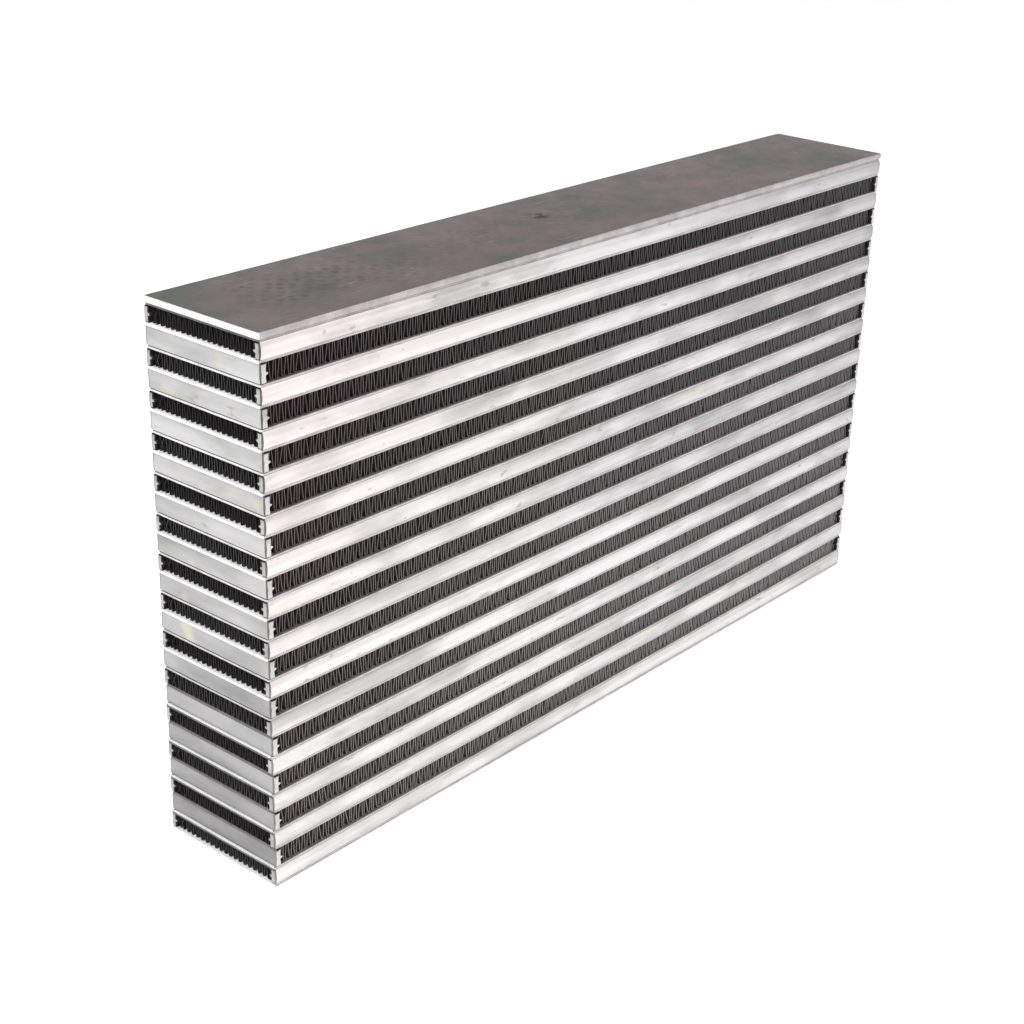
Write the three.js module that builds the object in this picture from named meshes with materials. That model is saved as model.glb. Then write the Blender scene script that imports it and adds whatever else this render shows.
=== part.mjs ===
// Bar-and-plate hydraulic oil cooler core, in millimetres, +Z up, standing on its bottom side plate.
// The origin is the centre of the underside. Oil flows along X, air flows along Y, and the layers
// are stacked along Z: side plate, then oil and air passages by turns, then the other side plate.
// Every passage is a gap between two parting sheets, closed on two sides by bars and filled by a
// folded fin. The outermost sheets lie under the side plates.

import * as THREE from "three";

// Outer size of the core, and the thicknesses of what is stacked in it.
const LENGTH = 500;
const DEPTH = 75;
const SIDE_PLATE = 3;
const SHEET = 1.25;
const OIL_HEIGHT = 8;
const AIR_HEIGHT = 9.5;
const OIL_PASSAGES = 14;
const AIR_PASSAGES = OIL_PASSAGES - 1;

// A closing bar is full height at its outer flange and has a narrow blunt nose half way up its
// inner side.
const LONG_BAR_FLANGE = 3;
const SHORT_BAR_FLANGE = 3.25;
const NOSE = 1.5;
const NOSE_BASE = 3;
const NOSE_TIP = 1;

// Folded fins. AIR_FOLDS_JOINED real folds are drawn as one here, in metal that many times thicker,
// so an air fin keeps its true weight.
const FIN_METAL = 0.15;
const AIR_FIN_PITCH = 3.45;
const AIR_FOLDS_JOINED = 3;
const OIL_FIN_PITCH = 3.42;
const FIN_TO_BAR = 0.25;
const AIR_FIN_INSET = 2;
const OIL_FIN_INSET = 2;

const LAYER_PERIOD = OIL_HEIGHT + AIR_HEIGHT + 2 * SHEET;
const HEIGHT = 2 * (SIDE_PLATE + SHEET) + OIL_HEIGHT + AIR_PASSAGES * LAYER_PERIOD;

// Extruded outlines are drawn in the shape's own x and y and then turned upright: the first basis
// lays the outline across the length, to run along Y, and the second lays it across the depth.
const ACROSS_LENGTH = new THREE.Matrix4().makeBasis(
  new THREE.Vector3(1, 0, 0),
  new THREE.Vector3(0, 0, 1),
  new THREE.Vector3(0, -1, 0),
);
const ACROSS_DEPTH = new THREE.Matrix4().makeBasis(
  new THREE.Vector3(0, 1, 0),
  new THREE.Vector3(0, 0, 1),
  new THREE.Vector3(1, 0, 0),
);

const core = new THREE.Group();

function milledAluminium() {
  return new THREE.MeshStandardMaterial({ color: 0xd6d3d4, roughness: 0.45, metalness: 0.85 });
}

function sidePlateAluminium() {
  return new THREE.MeshStandardMaterial({ color: 0x7b7673, roughness: 0.6, metalness: 0.7 });
}

function finAluminium() {
  return new THREE.MeshStandardMaterial({ color: 0x554e4d, roughness: 0.55, metalness: 0.8 });
}

function addPiece(name, geometry, material, bottom) {
  const piece = new THREE.Mesh(geometry, material);
  piece.name = name;
  piece.position.z = bottom;
  core.add(piece);
}

// An outline of [x, y] points, extruded and centred over the origin.
function extrude(points, run, basis) {
  const outline = new THREE.Shape(points.map(([x, y]) => new THREE.Vector2(x, y)));
  const geometry = new THREE.ExtrudeGeometry(outline, { depth: run, bevelEnabled: false });
  geometry.translate(0, 0, -run / 2);
  geometry.applyMatrix4(basis);
  return geometry;
}

// The inner side of a bar, as [x, y] points from its foot on the sheet to its top. side is -1 for a
// bar on the low side, 1 on the high.
function innerSide(side, half, flange, height) {
  const foot = side * (half - flange);
  const tip = side * (half - flange - NOSE);
  const middle = SHEET + height / 2;
  return [
    [foot, SHEET],
    [foot, middle - NOSE_BASE / 2],
    [tip, middle - NOSE_TIP / 2],
    [tip, middle + NOSE_TIP / 2],
    [foot, middle + NOSE_BASE / 2],
    [foot, SHEET + height],
  ];
}

// The outline of a channel: a parting sheet with a closing bar brazed on along each edge.
function channelOutline(width, flange, height) {
  const half = width / 2;
  const top = SHEET + height;
  const highSide = innerSide(1, half, flange, height).reverse();
  const lowSide = innerSide(-1, half, flange, height);
  return [[-half, 0], [half, 0], [half, top], ...highSide, ...lowSide, [-half, top]];
}

// The outline of a folded fin: a zigzag strip whose bends meet the plates above and below.
function finOutline(width, height, pitch, metal) {
  const folds = Math.floor(width / pitch);
  const stretched = width / folds;
  const slope = height / (stretched / 2);
  const steep = metal * Math.hypot(1, slope);
  const top = [];
  const under = [];
  for (let bend = 0; bend <= 2 * folds; bend += 1) {
    const x = -width / 2 + (bend * stretched) / 2;
    const high = bend % 2 === 1;
    top.push([x, high ? height : steep]);
    under.push([x, high ? height - steep : 0]);
  }
  return [...under, ...top.reverse()];
}

// A flat plate as large as the core.
function plate(thickness) {
  const half = LENGTH / 2;
  return extrude([[-half, 0], [half, 0], [half, thickness], [-half, thickness]], DEPTH, ACROSS_LENGTH);
}

function airChannel() {
  const outline = channelOutline(LENGTH, SHORT_BAR_FLANGE, AIR_HEIGHT);
  return extrude(outline, DEPTH, ACROSS_LENGTH);
}

function oilChannel() {
  const outline = channelOutline(DEPTH, LONG_BAR_FLANGE, OIL_HEIGHT);
  return extrude(outline, LENGTH, ACROSS_DEPTH);
}

function airFin() {
  const width = LENGTH - 2 * (SHORT_BAR_FLANGE + NOSE + FIN_TO_BAR);
  const pitch = AIR_FIN_PITCH * AIR_FOLDS_JOINED;
  const outline = finOutline(width, AIR_HEIGHT, pitch, FIN_METAL * AIR_FOLDS_JOINED);
  return extrude(outline, DEPTH - 2 * AIR_FIN_INSET, ACROSS_LENGTH);
}

function oilFin() {
  const width = DEPTH - 2 * (LONG_BAR_FLANGE + NOSE + FIN_TO_BAR);
  const outline = finOutline(width, OIL_HEIGHT, OIL_FIN_PITCH, FIN_METAL);
  return extrude(outline, LENGTH - 2 * OIL_FIN_INSET, ACROSS_DEPTH);
}

// Passages are numbered from the top. Each returned height is the underside of the passage itself.
function oilPassageBottom(number) {
  return HEIGHT - SIDE_PLATE - SHEET - OIL_HEIGHT - (number - 1) * LAYER_PERIOD;
}

function airPassageBottom(number) {
  return oilPassageBottom(number) - SHEET - AIR_HEIGHT;
}

function label(number) {
  return String(number).padStart(2, "0");
}

function addOuterPlates() {
  addPiece("top_side_plate", plate(SIDE_PLATE), sidePlateAluminium(), HEIGHT - SIDE_PLATE);
  addPiece("top_sheet", plate(SHEET), milledAluminium(), HEIGHT - SIDE_PLATE - SHEET);
  addPiece("bottom_side_plate", plate(SIDE_PLATE), sidePlateAluminium(), 0);
}

function addAirPassages() {
  for (let number = 1; number <= AIR_PASSAGES; number += 1) {
    const bottom = airPassageBottom(number);
    addPiece(`air_channel_${label(number)}`, airChannel(), milledAluminium(), bottom - SHEET);
    addPiece(`air_fin_${label(number)}`, airFin(), finAluminium(), bottom);
  }
}

function addOilPassages() {
  for (let number = 1; number <= OIL_PASSAGES; number += 1) {
    const bottom = oilPassageBottom(number);
    addPiece(`oil_channel_${label(number)}`, oilChannel(), milledAluminium(), bottom - SHEET);
    addPiece(`oil_fin_${label(number)}`, oilFin(), finAluminium(), bottom);
  }
}

addOuterPlates();
addOilPassages();
addAirPassages();

export default core;
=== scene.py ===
"""The looks of a brazed bar-and-plate oil cooler core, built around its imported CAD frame.

X runs along the oil flow, Y along the air flow and Z up the stack. The core's front face is at -Y.
"""

import math
import random

import bpy
from mathutils import Matrix, Vector


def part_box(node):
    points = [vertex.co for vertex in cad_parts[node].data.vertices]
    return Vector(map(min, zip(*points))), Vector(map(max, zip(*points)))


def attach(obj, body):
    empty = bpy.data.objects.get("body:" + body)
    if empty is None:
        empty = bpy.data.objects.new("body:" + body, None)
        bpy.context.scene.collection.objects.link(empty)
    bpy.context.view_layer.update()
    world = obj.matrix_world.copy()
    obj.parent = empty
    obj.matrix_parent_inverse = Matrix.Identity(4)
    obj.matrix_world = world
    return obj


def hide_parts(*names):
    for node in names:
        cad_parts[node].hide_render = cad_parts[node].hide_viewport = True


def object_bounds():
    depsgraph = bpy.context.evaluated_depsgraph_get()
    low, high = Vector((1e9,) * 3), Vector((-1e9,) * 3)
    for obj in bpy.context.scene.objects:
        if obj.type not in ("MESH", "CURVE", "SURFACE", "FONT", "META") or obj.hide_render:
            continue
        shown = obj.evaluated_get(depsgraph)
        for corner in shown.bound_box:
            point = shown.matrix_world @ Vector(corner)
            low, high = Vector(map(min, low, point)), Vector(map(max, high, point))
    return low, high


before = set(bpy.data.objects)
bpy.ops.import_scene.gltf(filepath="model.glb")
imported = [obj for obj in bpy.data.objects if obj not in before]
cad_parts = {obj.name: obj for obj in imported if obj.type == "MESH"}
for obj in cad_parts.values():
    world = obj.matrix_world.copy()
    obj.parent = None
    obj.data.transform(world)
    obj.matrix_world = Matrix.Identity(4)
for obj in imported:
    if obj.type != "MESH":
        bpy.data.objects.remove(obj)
cad_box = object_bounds()
LOW, HIGH = cad_box

MM = 0.001
OIL_PASSAGES = sum(name.startswith("oil_fin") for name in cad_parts)
AIR_PASSAGES = sum(name.startswith("air_fin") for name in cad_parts)

# Closing bars: a full-height flange with a narrow nose on the inner side and a crowned outer face.
# The nose is given as (height from the middle, how far it stands out there as a share of NOSE).
LONG_BAR = {"flange": 3.0 * MM, "crown": 0.6 * MM, "corner": 0.1 * MM}
SHORT_BAR = {"flange": 3.25 * MM, "crown": 0.22 * MM, "corner": 0.35 * MM}
NOSE = 1.5 * MM
NOSE_OUTLINE = ((1.5 * MM, 0.0), (1.1 * MM, 0.14), (0.75 * MM, 0.5), (0.45 * MM, 0.88), (0.2 * MM, 1.0))
LONG_BAR_END_SETBACK = 0.5 * MM
SHORT_BAR_SETBACK = 0.8 * MM
LOWER_SHORT_BAR_SETBACK = 1.2 * MM
CROWN_POWER = 2.2
OUTER_STEPS = 12
BAR_STATION = 9 * MM
BAR_END_ROUND = 0.9 * MM
BAR_END_TAPER = 0.7
# A bar's outer face is slightly wavy, down to a depth, both as a whole and in its upper part.
WAVY_DEPTH = 1.2 * MM
WHOLE_WAVE = 0.05 * MM
WHOLE_WAVE_LENGTH = 70 * MM
UPPER_WAVE = 0.04 * MM
UPPER_WAVE_LENGTH = 34 * MM
MOST_PROUD_WAVE = 0.03 * MM

# Sheets: how far their cut edges stand behind the outer planes, and their rounding. On the two
# ends, the sheets under the upper oil passages and the lowest one stand proud of the short bars as
# ledges, and in between it is the sheets under the air passages that do.
SHEET_FACE_SETBACK = 0.6 * MM
SHEET_PROUD_SETBACK = 0.0 * MM
SHEET_SUNK_SETBACK = 0.85 * MM
LOWER_SHEET_SETBACK = 1.25 * MM
UPPER_OIL_LEDGES = 9
SHEET_ROUND = 0.22 * MM
SHEET_CORNER = 0.8 * MM
SHEET_ROUGHNESS = 0.12 * MM
SHEET_RIM = 5 * MM

# Side plates, with rows of dark dots near the left end and one scuffed spot on the top one.
PLATE_ROUND = 0.6 * MM
PLATE_CORNER = 1.2 * MM
PLATE_ROUGHNESS = 0.1 * MM
DOTS_PER_METRE = 165
SCUFF = (LOW.x + 232 * MM, HIGH.y - 30 * MM, HIGH.z)
SCUFF_RADIUS = 7 * MM

# Outlines of sheets and plates.
EDGE_STEP = 5 * MM
EDGE_WAVE_LENGTH = 41 * MM
CORNER_STEPS = 5
LEAST_CORNER = 0.3 * MM

# Air fins: bent sheet with tight rounded bends, each given as shares of "bend" across and down,
# and a gentle wave along the air flow. The bends' places vary by about this share of the pitch.
AIR_FIN = {"pitch": 3.45 * MM, "metal": 0.42 * MM, "bend": 0.8 * MM}
BEND_OUTLINE = ((-0.75, 0.85), (-0.35, 0.1), (0.35, 0.1), (0.75, 0.85))
AIR_FOLD_SPREAD = 0.08
AIR_WAVE = 0.35 * MM
AIR_WAVE_LENGTH = 25 * MM
AIR_STATIONS = 7

# Oil fins: lanced rows, each shifted against the next by a share of the pitch either way.
OIL_FIN = {"pitch": 3.42 * MM, "metal": 0.2 * MM, "land": 1.0 * MM}
OIL_ROW_SHIFT = 0.125
OIL_ROW_SPREAD = 0.02
OIL_FIN_DRIFT = 0.05
OIL_FIN_UPPER_INSET = 1.7 * MM
OIL_FIN_LOWER_INSET = 1.2 * MM
OIL_ROW = 3.2 * MM
OIL_END_ROWS = 6
OIL_INNER_ROW = 12 * MM

# Camera, floor and light. The world's greys are (sine of the height above the horizon, grey).
CAMERA_PLACE = Vector((-0.7375, -0.5924, 0.5186))
CAMERA_AZIMUTH = 51.07
CAMERA_DOWN = 23.54
CAMERA_ROLL = 2.18
CAMERA_LENS = 65.18
CAMERA_SHIFT = (-0.0425, 0.0)
FLOOR_REACH = 12.0
FLOOR_GAP = 0.1 * MM
FLOOR_GLOW = 0.6
WORLD_GREYS = ((0.02, 1.0), (0.1, 0.7), (0.75, 0.32))

# Faces that meet at less than this many degrees are shaded smooth.
SMOOTH_BELOW = 38
BUMP_STRENGTH = 0.5


def make_piece(name, verts, faces, face_slots, materials, slot, node):
    """A mesh piece that rides on the core and stands for its CAD node, or for part of it."""
    mesh = bpy.data.meshes.new(name)
    mesh.from_pydata(verts, [], faces)
    for material in materials:
        mesh.materials.append(material)
    mesh.polygons.foreach_set("material_index", face_slots)
    mesh.polygons.foreach_set("use_smooth", [True] * len(mesh.polygons))
    mesh.set_sharp_from_angle(angle=math.radians(SMOOTH_BELOW))
    mesh.update()
    piece = bpy.data.objects.new(name, mesh)
    bpy.context.scene.collection.objects.link(piece)
    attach(piece, "root")
    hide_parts(node)


def number(index):
    """A piece's number, in two digits."""
    return f"{index:02d}"


def smooth_noise(seed, spacing):
    """A smooth random curve of one variable, from -1 to 1, with about one bump per spacing."""
    source = random.Random(seed)
    waves = [(source.uniform(0.5, 1.6), source.uniform(0, math.tau)) for _ in range(5)]

    def value(place):
        turn = math.tau * place / spacing
        return sum(math.sin(turn * rate + phase) for rate, phase in waves) / len(waves)

    return value


# --- Bars ---------------------------------------------------------------------------------------

def bar_profile(height, flange, crown, corner):
    """The closed outline of a bar, as (inward, up) from its outer plane and mid height."""
    half = height / 2
    points = []
    for step in range(OUTER_STEPS + 1):
        up = -half + corner + (height - 2 * corner) * step / OUTER_STEPS
        points.append((crown * abs(up / half) ** CROWN_POWER, up))
    points.append((crown + corner * 0.35, half - corner * 0.35))
    points.append((crown + corner, half))
    points.append((flange, half))
    points += [(flange + NOSE * share, up) for up, share in NOSE_OUTLINE]
    points += [(flange + NOSE * share, -up) for up, share in reversed(NOSE_OUTLINE)]
    points.append((flange, -half))
    points.append((crown + corner, -half))
    points.append((crown + corner * 0.35, -half + corner * 0.35))
    return points


def add_bar(name, materials, start, run, inward, middle, height, shape, seed, node):
    """A bar from start, along run (a vector as long as the bar), with its outer plane through start.

    The materials are for its outer side, inner side, cut ends, the rims of those ends, and the
    corner along the top of its outer side.
    """
    profile = bar_profile(height, **shape)
    along = run.normalized()
    length = run.length
    stations = max(8, round(length / BAR_STATION))
    places = [BAR_END_ROUND * part for part in (0, 0.3, 1)]
    places += [BAR_END_ROUND + (length - 2 * BAR_END_ROUND) * i / stations for i in range(1, stations)]
    places += [length - BAR_END_ROUND * part for part in (1, 0.3, 0)]
    whole = smooth_noise(seed, WHOLE_WAVE_LENGTH)
    upper = smooth_noise(seed + 1, UPPER_WAVE_LENGTH)
    centre = Vector((shape["flange"] / 2, 0))
    verts = []
    for place in places:
        from_end = min(place, length - place)
        shrink = BAR_END_ROUND - min(from_end, BAR_END_ROUND)
        shrink = BAR_END_ROUND - math.sqrt(max(0.0, BAR_END_ROUND**2 - shrink**2))
        for deep, up in profile:
            wave = WHOLE_WAVE * whole(place) + UPPER_WAVE * upper(place) * (up / height + 0.5)
            wave *= max(0.0, 1 - deep / WAVY_DEPTH)
            point = Vector((deep + max(wave, -MOST_PROUD_WAVE), up))
            point += (centre - point).normalized() * shrink * BAR_END_TAPER
            verts.append(start + along * place + inward * point.x + Vector((0, 0, middle + point.y)))
    count = len(profile)
    inner = range(OUTER_STEPS + 2, count - 2)
    upper_corner = range(OUTER_STEPS, OUTER_STEPS + 2)
    faces = []
    slots = []
    for ring in range(len(places) - 1):
        rim = ring < 2 or ring > len(places) - 4
        for i in range(count):
            j = (i + 1) % count
            a, b = ring * count + i, ring * count + j
            faces.append((a, b, b + count, a + count))
            if i in inner:
                slots.append(1)
            else:
                slots.append(3 if rim else 4 if i in upper_corner else 0)
    faces.append(tuple(reversed(range(count))))
    faces.append(tuple(range((len(places) - 1) * count, len(places) * count)))
    slots += [2, 2]
    if along.cross(inward).z > 0:
        faces = [tuple(reversed(face)) for face in faces]
    make_piece(name, verts, faces, slots, materials, "bar", node)


# --- Sheets and side plates ------------------------------------------------------------------------

def rectangle_outline(low, high, corner):
    """Walks round a rectangle with rounded corners, anticlockwise.

    Each step is (base, out): the outline's point is base + out * corner, and out points outwards.
    """
    centres = [
        (Vector((high.x - corner, low.y + corner)), -90),
        (Vector((high.x - corner, high.y - corner)), 0),
        (Vector((low.x + corner, high.y - corner)), 90),
        (Vector((low.x + corner, low.y + corner)), 180),
    ]
    outline = []
    for index, (centre, first) in enumerate(centres):
        for part in range(CORNER_STEPS + 1):
            angle = math.radians(first + 90 * part / CORNER_STEPS)
            outline.append((centre, Vector((math.cos(angle), math.sin(angle)))))
        next_centre = centres[(index + 1) % 4][0]
        pieces = max(1, round((next_centre - centre).length / EDGE_STEP))
        out = outline[-1][1]
        outline += [(centre.lerp(next_centre, i / pieces), out) for i in range(1, pieces)]
    return outline


def inset_point(base, out, low, high, corner, back):
    """The outline's point moved inwards by back, where the corners keep a small radius."""
    radius = max(corner - back, LEAST_CORNER)
    edge = back + radius
    x = min(max(base.x, low.x + edge), high.x - edge)
    y = min(max(base.y, low.y + edge), high.y - edge)
    return Vector((x, y)) + out * radius


def add_plate(name, materials, low, high, edge_round, corner, rim, rough, seed, slot, node):
    """A flat plate with a rounded, slightly uneven cut edge.

    The materials are for its broad faces, its two ends along X, its two long edges, and then, if
    rim is not 0, for margins of that width on the broad faces at the ends and at the long edges.
    """
    outline = rectangle_outline(low, high, corner)
    wander = smooth_noise(seed, EDGE_WAVE_LENGTH)
    flat = max(0.0, (high.z - low.z) / 2 - edge_round)
    section = []
    for turn in (90, 60, 30, 0):
        angle = math.radians(turn)
        section.append((edge_round * (1 - math.cos(angle)), flat + edge_round * math.sin(angle)))
    if rim > 0:
        section.insert(0, (edge_round + rim, flat + edge_round))
    rings = section + [(back, -up) for back, up in reversed(section)]
    middle = (low.z + high.z) / 2
    verts = []
    for back, up in rings:
        for base, out in outline:
            give = rough * (0.5 + 0.5 * wander(base.x + base.y))
            place = inset_point(base, out, low, high, corner, back + give)
            verts.append(Vector((place.x, place.y, middle + up)))
    count = len(outline)
    faces = []
    slots = []
    for ring in range(len(rings) - 1):
        for i in range(count):
            j = (i + 1) % count
            a, b = ring * count + i, ring * count + j
            faces.append((a, a + count, b + count, b))
            on_margin = rim > 0 and min(ring, len(rings) - 2 - ring) < 3
            side = 1 if abs(outline[i][1].x) > 0.5 else 2
            slots.append(side + 2 if on_margin else side)
    faces.append(tuple(range(count)))
    faces.append(tuple(reversed(range((len(rings) - 1) * count, len(rings) * count))))
    slots += [0, 0]
    make_piece(name, verts, faces, slots, materials, slot, node)


# --- Fins -----------------------------------------------------------------------------------------

def offset_strip(path, metal):
    """Both faces of a folded strip, as two lists of points, from its middle line."""
    upper, lower = [], []
    for i, point in enumerate(path):
        before = path[max(i - 1, 0)]
        after = path[min(i + 1, len(path) - 1)]
        first = (point - before).normalized() if i else (after - point).normalized()
        second = (after - point).normalized() if i < len(path) - 1 else first
        bisector = (first + second).normalized()
        normal = Vector((-bisector.y, bisector.x))
        stretch = 1 / max(0.6, bisector.dot(first))
        upper.append(point + normal * metal / 2 * stretch)
        lower.append(point - normal * metal / 2 * stretch)
    return upper, lower


def zigzag_path(width, height, fin, rng):
    """The middle line of an air fin: straight legs and tight rounded bends, slightly irregular."""
    folds = round(width / fin["pitch"])
    pitch = width / folds
    half = height / 2 - fin["metal"] / 2
    bend = fin["bend"]
    path = [Vector((-width / 2, -half * 0.9))]
    for i in range(2 * folds - 1):
        side = 1 if i % 2 == 0 else -1
        x = -width / 2 + pitch / 2 * (i + 1) + rng.gauss(0, AIR_FOLD_SPREAD) * pitch
        for across, down in BEND_OUTLINE:
            path.append(Vector((x + bend * across, side * (half - bend * down))))
    path.append(Vector((width / 2, -half * 0.9)))
    return path


def square_path(width, height, fin, shift):
    """The middle line of one row of an oil fin: steep legs between flat lands."""
    half_pitch = fin["pitch"] / 2
    land = fin["land"] / 2
    half = height / 2 - fin["metal"] / 2
    reach = width / 2 - land - 2 * fin["metal"]
    first = math.ceil(-reach / half_pitch - 2 * shift)
    last = math.floor(reach / half_pitch - 2 * shift)
    path = []
    for i in range(first, last + 1):
        side = 1 if i % 2 else -1
        y = (i + 2 * shift) * half_pitch
        path.append(Vector((y - land, side * half)))
        path.append(Vector((y + land, side * half)))
    for end, at, side in ((-1, 0, 1 if first % 2 else -1), (1, len(path), 1 if last % 2 else -1)):
        edge = end * (width - fin["metal"]) / 2
        corner = [Vector((edge, -side * half)), Vector((edge, side * half))]
        path[at:at] = corner if end < 0 else reversed(corner)
    return path


def strip_mesh(upper, lower, stations, place, verts, faces, slots):
    """Adds a folded strip through all stations. place turns (station, point) into a vertex."""
    count = len(upper)
    ring = 2 * count
    base = len(verts)
    for station in stations:
        verts.extend(place(station, point) for point in upper)
        verts.extend(place(station, point) for point in reversed(lower))
    for k in range(len(stations) - 1):
        for i in range(ring):
            a = base + k * ring + i
            b = base + k * ring + (i + 1) % ring
            faces.append((a, b, b + ring, a + ring))
            slots.append(0)
    last = base + (len(stations) - 1) * ring
    for i in range(count - 1):
        a, b = base + i, base + i + 1
        c, d = base + ring - 2 - i, base + ring - 1 - i
        faces.append((a, d, c, b))
        shift = last - base
        faces.append((a + shift, b + shift, c + shift, d + shift))
        slots += [1, 1]


def add_air_fin(index, materials):
    node = f"air_fin_{number(index)}"
    low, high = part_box(node)
    rng = random.Random(400 + index)
    path = zigzag_path(high.x - low.x, high.z - low.z, AIR_FIN, rng)
    upper, lower = offset_strip(path, AIR_FIN["metal"])
    middle = (low.z + high.z) / 2
    phase = rng.uniform(0, math.tau)
    stations = [low.y + (high.y - low.y) * i / AIR_STATIONS for i in range(AIR_STATIONS + 1)]

    def place(y, point):
        sway = AIR_WAVE * math.sin(math.tau * (y - low.y) / AIR_WAVE_LENGTH + phase)
        sway -= AIR_WAVE * math.sin(phase)
        return Vector((point.x + sway, y, middle + point.y))

    verts, faces, slots = [], [], []
    strip_mesh(upper, lower, stations, place, verts, faces, slots)
    make_piece(f"air_folds_{number(index)}", verts, faces, slots, materials, "fin", node)


def fin_rows(start, end):
    """The lanced rows of an oil fin: short near both ends, longer inside, where none is seen."""
    lengths = [OIL_ROW] * OIL_END_ROWS
    inside = end - start - 2 * OIL_END_ROWS * OIL_ROW
    count = round(inside / OIL_INNER_ROW)
    rows = []
    x = start
    for length in lengths + [inside / count] * count + lengths:
        rows.append((x, x + length))
        x += length
    return rows


def add_oil_fin(index, materials, inset):
    node = f"oil_fin_{number(index)}"
    low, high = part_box(node)
    rng = random.Random(700 + index)
    middle = (low.z + high.z) / 2
    drift = rng.uniform(-OIL_FIN_DRIFT, OIL_FIN_DRIFT)

    def place(along, point):
        return Vector((along, point.x, middle + point.y))

    verts, faces, slots = [], [], []
    for row, ends in enumerate(fin_rows(LOW.x + inset, HIGH.x - inset)):
        shift = drift + (OIL_ROW_SHIFT if row % 2 else -OIL_ROW_SHIFT)
        shift += rng.uniform(-OIL_ROW_SPREAD, OIL_ROW_SPREAD)
        path = square_path(high.y - low.y, high.z - low.z, OIL_FIN, shift)
        upper, lower = offset_strip(path, OIL_FIN["metal"])
        strip_mesh(upper, lower, ends, place, verts, faces, slots)
    faces = [tuple(reversed(face)) for face in faces]
    make_piece(f"oil_turbulator_{number(index)}", verts, faces, slots, materials, "fin", node)


# --- Materials --------------------------------------------------------------------------------------

class Look:
    """A Principled material and short calls for the nodes that feed it."""

    def __init__(self, name, metallic, roughness):
        self.material = bpy.data.materials.new(name)
        self.material.use_nodes = True
        self.tree = self.material.node_tree
        self.shader = self.tree.nodes["Principled BSDF"]
        self.shader.inputs["Metallic"].default_value = metallic
        self.shader.inputs["Roughness"].default_value = roughness
        self.place = self.tree.nodes.new("ShaderNodeTexCoord").outputs["Object"]

    def link(self, source, target):
        self.tree.links.new(source, target)

    def scaled(self, scale, turn=0.0):
        """Object coordinates times scale, which is in features per metre."""
        node = self.tree.nodes.new("ShaderNodeMapping")
        node.inputs["Scale"].default_value = scale
        node.inputs["Rotation"].default_value = (0, 0, math.radians(turn))
        self.link(self.place, node.inputs["Vector"])
        return node.outputs["Vector"]

    def noise(self, scale, detail=3.0, rough=0.5, turn=0.0):
        node = self.tree.nodes.new("ShaderNodeTexNoise")
        node.inputs["Scale"].default_value = 1.0
        node.inputs["Detail"].default_value = detail
        node.inputs["Roughness"].default_value = rough
        self.link(self.scaled(scale, turn), node.inputs["Vector"])
        return node.outputs["Fac"]

    def along(self, axis, stops):
        """A ramp through (share, colour) stops across the core's size on one axis: 0, 1 or 2."""
        split = self.tree.nodes.new("ShaderNodeSeparateXYZ")
        self.link(self.place, split.inputs[0])
        share = self.tree.nodes.new("ShaderNodeMapRange")
        share.inputs["From Min"].default_value = LOW[axis]
        share.inputs["From Max"].default_value = HIGH[axis]
        self.link(split.outputs[axis], share.inputs["Value"])
        return self.ramp(share.outputs["Result"], stops)

    def spot(self, centre, radius):
        """A mask that is 1 at a point and falls to 0 at a radius from it."""
        node = self.tree.nodes.new("ShaderNodeVectorMath")
        node.operation = "DISTANCE"
        node.inputs[1].default_value = centre
        self.link(self.place, node.inputs[0])
        share = self.maths("DIVIDE", node.outputs["Value"], radius)
        return self.ramp(share, [(0.5, 1.0), (1.0, 0.0)])

    def ramp(self, factor, stops):
        """A colour ramp through (place, colour) stops. A number as colour is a grey."""
        node = self.tree.nodes.new("ShaderNodeValToRGB")
        elements = node.color_ramp.elements
        while len(elements) < len(stops):
            elements.new(0.5)
        for element, (place, colour) in zip(elements, stops):
            element.position = place
            grey = isinstance(colour, (int, float))
            element.color = (colour,) * 3 + (1,) if grey else (*colour, 1)
        self.link(factor, node.inputs["Fac"])
        return node.outputs["Color"]

    def mix(self, factor, first, second, blend="MIX"):
        """Mixes two colours, each a socket or a constant, by a socket or a constant factor."""
        node = self.tree.nodes.new("ShaderNodeMix")
        node.data_type = "RGBA"
        node.blend_type = blend
        for value, place in ((factor, 0), (first, 6), (second, 7)):
            socket = node.inputs[place]
            if isinstance(value, bpy.types.NodeSocket):
                self.link(value, socket)
            elif isinstance(value, tuple):
                socket.default_value = (*value, 1)
            else:
                socket.default_value = value
        return node.outputs[2]

    def maths(self, operation, first, second):
        node = self.tree.nodes.new("ShaderNodeMath")
        node.operation = operation
        for value, socket in zip((first, second), node.inputs):
            if isinstance(value, bpy.types.NodeSocket):
                self.link(value, socket)
            else:
                socket.default_value = value
        return node.outputs[0]

    def colour(self, source):
        self.link(source, self.shader.inputs["Base Color"])

    def roughness(self, source):
        self.link(source, self.shader.inputs["Roughness"])

    def bump(self, source, depth):
        node = self.tree.nodes.new("ShaderNodeBump")
        node.inputs["Strength"].default_value = BUMP_STRENGTH
        node.inputs["Distance"].default_value = depth
        self.link(source, node.inputs["Height"])
        self.link(node.outputs["Normal"], self.shader.inputs["Normal"])


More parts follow.
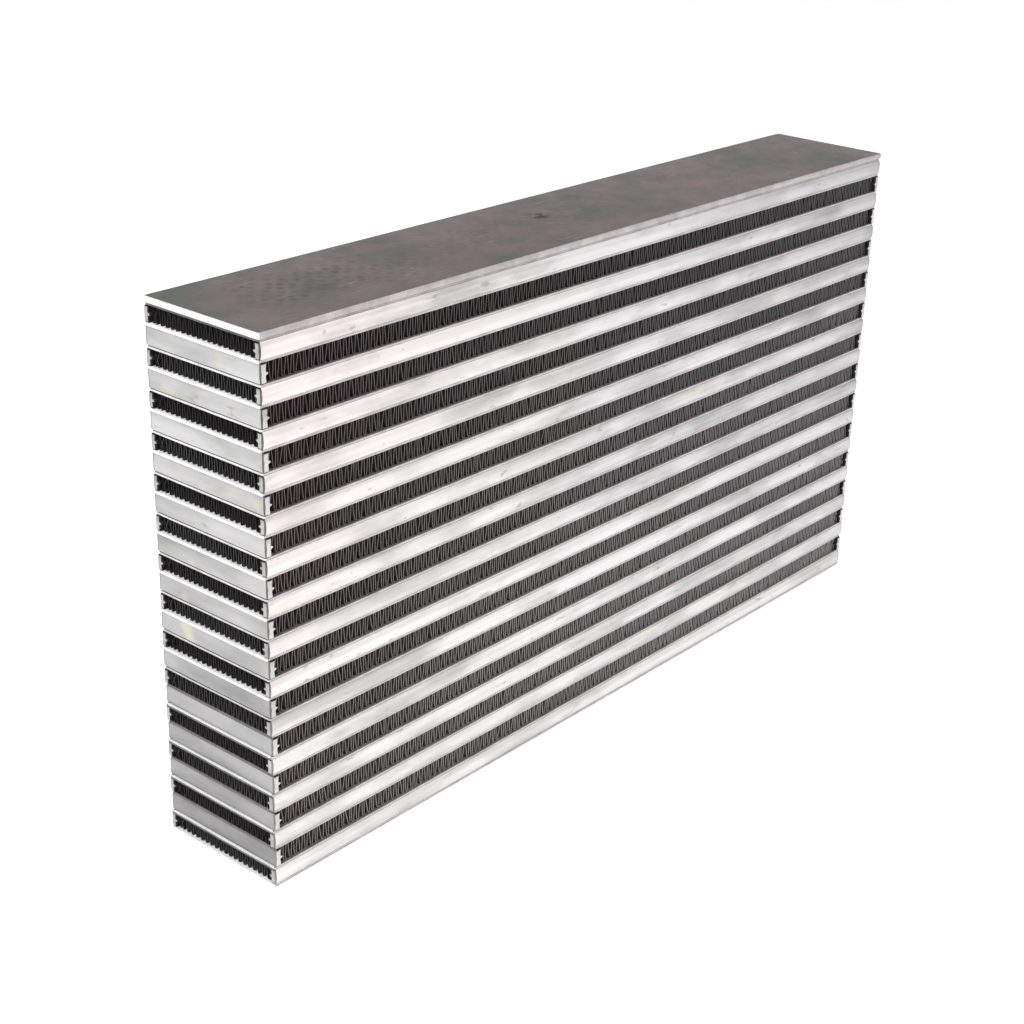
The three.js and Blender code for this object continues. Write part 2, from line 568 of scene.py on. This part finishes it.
def bar_material(name, streaks, top_light_tints, bottom_light_tints, line_strength, residue):
    """Mill-finish aluminium: drawn lines, faint clouds, dark specks and flux residue.

    Each set of tints is the colour at the left end, in the middle and at the right end, at the top
    and at the bottom of the core. Their spread is painted light and shade over the metal's own colour.
    """
    look = Look(name, 0.75, 0.45)
    # Painted light and shade: ramps along X, and from the bottom tints to the top ones up the core.
    upper = look.along(0, list(zip((0.0, 0.5, 1.0), top_light_tints)))
    lower = look.along(0, list(zip((0.0, 0.5, 1.0), bottom_light_tints)))
    base = look.mix(look.along(2, [(0.05, 0.0), (0.9, 1.0)]), lower, upper)
    clouds = look.noise((18, 18, 60), detail=4)
    base = look.mix(1.0, base, look.ramp(clouds, [(0.32, 0.68), (0.56, 1.0)]), "MULTIPLY")
    lines = look.noise(streaks, detail=2)
    shade = look.ramp(lines, [(0.35, 1 - line_strength), (0.6, 1.0)])
    base = look.mix(1.0, base, shade, "MULTIPLY")
    smudges = look.ramp(look.noise((26, 26, 110), detail=3), [(0.60, 1.0), (0.75, 0.8)])
    base = look.mix(1.0, base, smudges, "MULTIPLY")
    specks = look.noise((90, 90, 240), detail=2)
    base = look.mix(look.ramp(specks, [(0.69, 0.0), (0.76, 0.5)]), base, (0.26, 0.24, 0.23))
    stain = look.noise((12, 32, 32), detail=2)
    base = look.mix(look.ramp(stain, [(0.64, 0.0), (0.74, residue)]), base, (0.62, 0.60, 0.42))
    look.colour(base)
    look.roughness(look.ramp(look.noise((30, 30, 90)), [(0.3, 0.40), (0.7, 0.58)]))
    height = look.mix(0.5, lines, look.noise((120, 120, 300), detail=4))
    look.bump(height, 0.05 * MM)
    return look.material


def cut_material(name, dark, light, fall=1.0, metallic=0.6):
    """A sawn end of a bar, or a sheared edge of sheet: fine scratches over an uneven grey.

    Its colours are multiplied by fall at the top of the core, and are left alone at the bottom.
    """
    look = Look(name, metallic, 0.5)
    clouds = look.noise((120, 120, 120), detail=4)
    scratches = look.noise((500, 500, 2500), detail=2)
    base = look.ramp(clouds, [(0.3, dark), (0.68, light)])
    base = look.mix(0.3, base, look.ramp(scratches, [(0.35, 0.7), (0.65, 1.0)]), "MULTIPLY")
    if fall != 1.0:
        base = look.mix(1.0, base, look.along(2, [(0.15, 1.0), (0.75, fall)]), "MULTIPLY")
    look.colour(base)
    look.roughness(look.ramp(look.noise((150, 150, 150)), [(0.3, 0.4), (0.7, 0.6)]))
    look.bump(scratches, 0.04 * MM)
    return look.material


def furnace_and_shade_material(name, metallic, grain, tints, bottom_light_tints=None):
    """Metal dulled by the brazing furnace in patches, and darkened with painted shade.

    The tints are its colour at the left end, in the middle and at the right end, and the
    bottom light tints, if there are any, are the same at the bottom of the core. The differences
    between them are painted light and shade.
    """
    look = Look(name, metallic, 0.55)
    base = look.along(0, list(zip((0.0, 0.5, 1.0), tints)))
    # Painted light: a different colour towards the bottom of the core.
    if bottom_light_tints:
        lower = look.along(0, list(zip((0.0, 0.5, 1.0), bottom_light_tints)))
        base = look.mix(look.along(2, [(0.05, 0.0), (0.9, 1.0)]), lower, base)
    clouds = look.noise((14, 14, 40), detail=3)
    look.colour(look.mix(1.0, base, look.ramp(clouds, [(0.32, 0.75), (0.68, 1.0)]), "MULTIPLY"))
    look.roughness(look.ramp(look.noise((200, 200, 200)), [(0.3, 0.45), (0.7, 0.65)]))
    look.bump(look.noise((grain, grain, grain), detail=2), 0.03 * MM)
    return look.material


def dot_patches(look):
    """Rows of staggered dark dots, strongest near the left end, as a mask."""
    cells = look.tree.nodes.new("ShaderNodeTexVoronoi")
    cells.inputs["Scale"].default_value = 1.0
    cells.inputs["Randomness"].default_value = 0.4
    look.link(look.scaled((DOTS_PER_METRE, DOTS_PER_METRE, 1), turn=45), cells.inputs["Vector"])
    dots = look.ramp(cells.outputs["Distance"], [(0.12, 1.0), (0.48, 0.0)])
    lengthwise = [(0.04, 0.0), (0.08, 1.0), (0.20, 0.9), (0.26, 0.3), (0.48, 0.35), (0.56, 0.1)]
    across = [(0.2, 0.1), (0.35, 1.0), (0.7, 1.0), (0.85, 0.1)]
    where = look.maths("MULTIPLY", look.along(0, lengthwise), look.along(1, across))
    uneven = look.ramp(look.noise((30, 40, 1), detail=1), [(0.35, 0.6), (0.6, 1.0)])
    return look.maths("MULTIPLY", look.maths("MULTIPLY", dots, uneven), where)


def plate_material():
    """The broad faces of the side plates: matte, mottled by the furnace, scratched and spotted."""
    look = Look("side_plate_face", 0.35, 0.55)
    clouds = look.noise((24, 30, 24), detail=5, rough=0.62)
    green, brown, rose = (0.120, 0.128, 0.112), (0.165, 0.143, 0.138), (0.20, 0.160, 0.162)
    base = look.ramp(clouds, [(0.36, green), (0.5, brown), (0.64, rose)])
    drift = look.along(0, [(0.0, 0.95), (0.35, 0.92), (0.8, 1.12), (1.0, 1.12)])
    base = look.mix(1.0, base, drift, "MULTIPLY")
    grain = look.noise((260, 700, 260), detail=4, turn=12)
    base = look.mix(0.5, base, look.ramp(grain, [(0.3, 0.80), (0.7, 1.15)]), "MULTIPLY")
    base = look.mix(look.maths("MULTIPLY", dot_patches(look), 0.75), base, (0.085, 0.06, 0.05))
    worn = look.ramp(look.noise((150, 230, 150), detail=3, rough=0.7), [(0.42, 0.0), (0.50, 0.9)])
    scuffed = look.maths("MULTIPLY", look.spot(SCUFF, SCUFF_RADIUS), worn)
    base = look.mix(scuffed, base, (0.03, 0.03, 0.03))
    scratches = look.ramp(look.noise((60, 1300, 60), detail=1, turn=58), [(0.70, 0.0), (0.74, 0.6)])
    sparse = look.ramp(look.noise((34, 34, 34), detail=2), [(0.5, 0.0), (0.6, 1.0)])
    base = look.mix(look.maths("MULTIPLY", scratches, sparse), base, (0.42, 0.40, 0.39))
    look.colour(base)
    look.roughness(look.ramp(look.noise((80, 80, 80)), [(0.3, 0.48), (0.7, 0.66)]))
    look.bump(grain, 0.04 * MM)
    return look.material


# --- The core ---------------------------------------------------------------------------------------

def add_side_plate(which, materials, seed):
    node = f"{which}_side_plate"
    low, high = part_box(node)
    shape = (PLATE_ROUND, PLATE_CORNER, 0, PLATE_ROUGHNESS)
    add_plate(f"{which}_plate", materials, low, high, *shape, seed, "side_plate", node)


def add_sheet(name, node, materials, bottom, top, end_setback, seed):
    low = Vector((LOW.x + end_setback, LOW.y + SHEET_FACE_SETBACK, bottom))
    high = Vector((HIGH.x - end_setback, HIGH.y - SHEET_FACE_SETBACK, top))
    shape = (SHEET_ROUND, SHEET_CORNER, SHEET_RIM, SHEET_ROUGHNESS)
    add_plate(name, materials, low, high, *shape, seed, "bar", node)


def add_long_bars(index, bottom, top, materials, node):
    middle = (bottom + top) / 2
    run = Vector((HIGH.x - LOW.x - 2 * LONG_BAR_END_SETBACK, 0, 0))
    for side, y, inward, seed in (("front", LOW.y, 1, 20), ("rear", HIGH.y, -1, 60)):
        add_bar(
            f"bar_{side}_{number(index)}", materials, Vector((LOW.x + LONG_BAR_END_SETBACK, y, 0)), run,
            Vector((0, inward, 0)), middle, top - bottom, LONG_BAR, seed + index, node,
        )


def add_short_bars(index, bottom, top, setback, materials, node):
    middle = (bottom + top) / 2
    run = Vector((0, HIGH.y - LOW.y, 0))
    for side, x, inward, seed in (("left", LOW.x, 1, 120), ("right", HIGH.x, -1, 160)):
        start = Vector((x + inward * setback, LOW.y, 0))
        add_bar(
            f"bar_{side}_{number(index)}", materials, start, run, Vector((inward, 0, 0)),
            middle, top - bottom, SHORT_BAR, seed + index, node,
        )


def sheet_materials(inside):
    """The materials of a sheet, by how its ends show: as ledges, as grey strips or not at all."""
    edge = cut_material("sheet_edge", (0.44, 0.415, 0.415), (0.58, 0.555, 0.555))
    # The top sheet's long edges: a darker copy of the sheet edge, painted shade under the plate.
    shaded_edge = cut_material("outer_sheet_edge_painted_shade", (0.32, 0.30, 0.30), (0.46, 0.435, 0.435))
    margin = cut_material("sheet_margin", (0.32, 0.29, 0.29), (0.44, 0.41, 0.41))
    # Near white ledges and margins: bright metal raised to white with a painted highlight where light
    # catches it.
    ledge = cut_material("sheet_ledge_painted_highlight", (0.86, 0.86, 0.86), (0.97, 0.97, 0.97), metallic=0.15)
    # Near black sheet ends: a shaded copy of the same cut edge, painted shade.
    strip = cut_material("sheet_end_painted_shade", (0.11, 0.11, 0.11), (0.18, 0.18, 0.18))
    # Grey sheet ends under the bars above: painted shade, lighter towards the top of the core.
    sunk = cut_material("sheet_sunk_end_painted_shade", (0.32, 0.32, 0.32), (0.46, 0.46, 0.46), 1.9)
    return {
        "ledge": [inside, ledge, edge, ledge, margin],
        "strip": [inside, strip, edge, ledge, margin],
        "sunk": [inside, sunk, edge, inside, margin],
        "flush": [inside, strip, edge, inside, margin],
        "outer": [inside, strip, shaded_edge, inside, margin],
    }


def build_core():
    # Sheet faces inside the passages, near black: painted shade, the metal where light does not reach.
    inside = furnace_and_shade_material(
        "inner_surface_painted_shade", 0.3, 600,
        [(0.05, 0.042, 0.045), (0.042, 0.042, 0.04), (0.035, 0.04, 0.038)],
    )
    # The bars' inner sides, near black: painted shade on the same metal as their outer sides.
    bar_inner = furnace_and_shade_material("bar_inner_side", 0.3, 600, [(0.016, 0.014, 0.015)] * 3)
    # Dark rounded bar ends, darker towards the top: painted shade for the dark line along the core's
    # corners.
    rim = cut_material("bar_rim_painted_shade", (0.17, 0.16, 0.16), (0.27, 0.26, 0.26), 0.55)
    # The short bars' top outer corner: a dark braze joint, with a painted shadow under the ledge above it.
    joint_and_shade = cut_material("bar_joint_and_shade", (0.16, 0.155, 0.15), (0.28, 0.27, 0.26))
    # Long bars: brighter and pinker at the upper left, darker at the upper right, more even at the bottom:
    # painted light over the metal's colour.
    long_outer = bar_material(
        "long_bar_outer", (3, 100, 420),
        [(0.85, 0.785, 0.795), (0.72, 0.71, 0.715), (0.53, 0.525, 0.535)],
        [(0.74, 0.722, 0.718), (0.76, 0.755, 0.755), (0.70, 0.695, 0.695)], 0.12, 0.3,
    )
    long_cut = cut_material("long_bar_cut", (0.34, 0.335, 0.335), (0.52, 0.51, 0.51))
    long_bar = [long_outer, bar_inner, long_cut, rim, long_outer]
    # Short bars: darker towards the bottom of the core than at the top: painted shade.
    short_outer = bar_material(
        "short_bar_outer", (60, 3, 260),
        [(0.61, 0.605, 0.605)] * 3, [(0.335, 0.33, 0.33)] * 3, 0.06, 0.8,
    )
    short_cut = cut_material("short_bar_cut", (0.50, 0.49, 0.49), (0.66, 0.65, 0.65))
    short_bar = [short_outer, bar_inner, short_cut, rim, joint_and_shade]
    sheets = sheet_materials(inside)
    face = plate_material()
    bright_edge = cut_material("plate_end", (0.85, 0.85, 0.85), (0.97, 0.97, 0.97))
    long_edge = cut_material("plate_edge", (0.42, 0.385, 0.39), (0.56, 0.52, 0.53))
    # Air fins: dark from the furnace and from painted shade deep in the core, and lighter towards the
    # bottom and the right end: painted light.
    air_fin = [
        furnace_and_shade_material(
            "air_fin_wall_painted_light", 0.4, 900,
            [(0.066, 0.046, 0.051), (0.072, 0.068, 0.069), (0.094, 0.096, 0.098)],
            [(0.145, 0.122, 0.127), (0.26, 0.25, 0.25), (0.29, 0.29, 0.29)],
        ),
        furnace_and_shade_material(
            "air_fin_edge_painted_light", 0.5, 1500,
            [(0.112, 0.083, 0.090), (0.125, 0.118, 0.119), (0.15, 0.152, 0.153)],
            [(0.25, 0.21, 0.215), (0.42, 0.405, 0.405), (0.45, 0.45, 0.45)],
        ),
    ]
    # Oil fins, near black: furnace dulling and painted shade deep in the passages. Every second passage
    # gets a lighter copy of the fin edges and the rest a darker one: painted light and shade.
    wall = furnace_and_shade_material("oil_fin_wall_painted_shade", 0.4, 900, [(0.035, 0.031, 0.034)] * 3)
    lit_fin = [wall, furnace_and_shade_material("oil_fin_edge_painted_light", 0.5, 1500, [(0.13, 0.125, 0.125)] * 3)]
    shaded_fin = [wall, furnace_and_shade_material("oil_fin_edge_painted_shade", 0.5, 1500, [(0.06, 0.055, 0.057)] * 3)]
    add_side_plate("top", [face, bright_edge, long_edge], 5)
    add_side_plate("bottom", [face, bright_edge, bright_edge], 6)
    low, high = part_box("top_sheet")
    add_sheet("sheet_over_oil_01", "top_sheet", sheets["outer"], low.z, high.z, SHEET_SUNK_SETBACK, 200)
    for index in range(1, OIL_PASSAGES + 1):
        low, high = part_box(f"oil_fin_{number(index)}")
        node = f"oil_channel_{number(index)}"
        proud = index <= UPPER_OIL_LEDGES or index == OIL_PASSAGES
        add_sheet(
            f"sheet_under_oil_{number(index)}", node, sheets["ledge" if proud else "flush"],
            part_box(node)[0].z, low.z, SHEET_PROUD_SETBACK if proud else LOWER_SHEET_SETBACK, 200 + index,
        )
        add_long_bars(index, low.z, high.z, long_bar, node)
        inset = OIL_FIN_UPPER_INSET if proud else OIL_FIN_LOWER_INSET
        # Alternate passages take the lit and the shaded copy of the fin edges.
        add_oil_fin(index, shaded_fin if index % 2 else lit_fin, inset)
    for index in range(1, AIR_PASSAGES + 1):
        low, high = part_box(f"air_fin_{number(index)}")
        node = f"air_channel_{number(index)}"
        proud = index > UPPER_OIL_LEDGES
        add_sheet(
            f"sheet_under_air_{number(index)}", node, sheets["strip" if proud else "sunk"],
            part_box(node)[0].z, low.z, SHEET_PROUD_SETBACK if proud else SHEET_SUNK_SETBACK, 300 + index,
        )
        setback = LOWER_SHORT_BAR_SETBACK if proud else SHORT_BAR_SETBACK
        add_short_bars(index, low.z, high.z, setback, short_bar, node)
        add_air_fin(index, air_fin)


# --- Camera, floor and light ---------------------------------------------------------------------------

def add_camera():
    data = bpy.data.cameras.new("camera")
    data.lens = CAMERA_LENS
    data.sensor_width = 36
    data.shift_x, data.shift_y = CAMERA_SHIFT
    camera = bpy.data.objects.new("camera", data)
    turn, down = math.radians(CAMERA_AZIMUTH), math.radians(CAMERA_DOWN)
    forward = Vector((math.sin(turn) * math.cos(down), math.cos(turn) * math.cos(down), -math.sin(down)))
    upright = forward.to_track_quat("-Z", "Y").to_matrix().to_4x4()
    roll = Matrix.Rotation(math.radians(CAMERA_ROLL), 4, "Z")
    camera.matrix_world = Matrix.Translation(CAMERA_PLACE) @ upright @ roll
    bpy.context.scene.collection.objects.link(camera)
    bpy.context.scene.camera = camera


def add_floor():
    """A wide pale floor just under the core, which glows a little as a light table does."""
    mesh = bpy.data.meshes.new("floor")
    corners = [(FLOOR_REACH * x, FLOOR_REACH * y, 0) for x, y in ((-1, -1), (1, -1), (1, 1), (-1, 1))]
    mesh.from_pydata(corners, [], [(0, 1, 2, 3)])
    look = Look("floor", 0.0, 0.7)
    clouds = look.noise((3, 3, 3))
    look.colour(look.ramp(clouds, [(0.3, 0.83), (0.7, 0.86)]))
    look.shader.inputs["Emission Color"].default_value = (1, 1, 1, 1)
    look.shader.inputs["Emission Strength"].default_value = FLOOR_GLOW
    mesh.materials.append(look.material)
    floor = bpy.data.objects.new("floor", mesh)
    floor.location.z = LOW.z - FLOOR_GAP
    bpy.context.scene.collection.objects.link(floor)


def add_area_light(name, place, target, size, power, colour):
    data = bpy.data.lights.new(name, "AREA")
    data.shape = "SQUARE"
    data.size = size
    data.energy = power
    data.color = colour
    light = bpy.data.objects.new(name, data)
    light.location = place
    light.rotation_mode = "QUATERNION"
    light.rotation_quaternion = (Vector(target) - Vector(place)).to_track_quat("-Z", "Y")
    bpy.context.scene.collection.objects.link(light)


def add_world():
    """A soft room, bright at the level of the horizon and dim overhead."""
    world = bpy.data.worlds.new("studio")
    world.use_nodes = True
    tree = world.node_tree
    place = tree.nodes.new("ShaderNodeTexCoord")
    split = tree.nodes.new("ShaderNodeSeparateXYZ")
    ramp = tree.nodes.new("ShaderNodeValToRGB")
    ramp.color_ramp.elements.new(0.5)
    for element, (height, grey) in zip(ramp.color_ramp.elements, WORLD_GREYS):
        element.position = height
        element.color = (grey, grey * 0.99, grey * 0.985, 1)
    background = tree.nodes["Background"]
    tree.links.new(place.outputs["Generated"], split.inputs["Vector"])
    tree.links.new(split.outputs["Z"], ramp.inputs["Fac"])
    tree.links.new(ramp.outputs["Color"], background.inputs["Color"])
    bpy.context.scene.world = world


def add_lights():
    """A wide key light in front on the right, slightly pink, and a smaller one above the left end."""
    add_area_light(
        "right_key", place=(0.6, -1.3, 1.4), target=(0.0, -0.2, 0.0), size=1.2, power=12,
        colour=(1.0, 0.98, 0.985),
    )
    add_area_light(
        "left_fill", place=(-0.9, 0.05, 1.5), target=(-0.25, 0, 0.15), size=0.7, power=18,
        colour=(1, 1, 1),
    )


add_camera()
add_floor()
add_world()
add_lights()
build_core()
bpy.context.scene.view_settings.view_transform = "Standard"
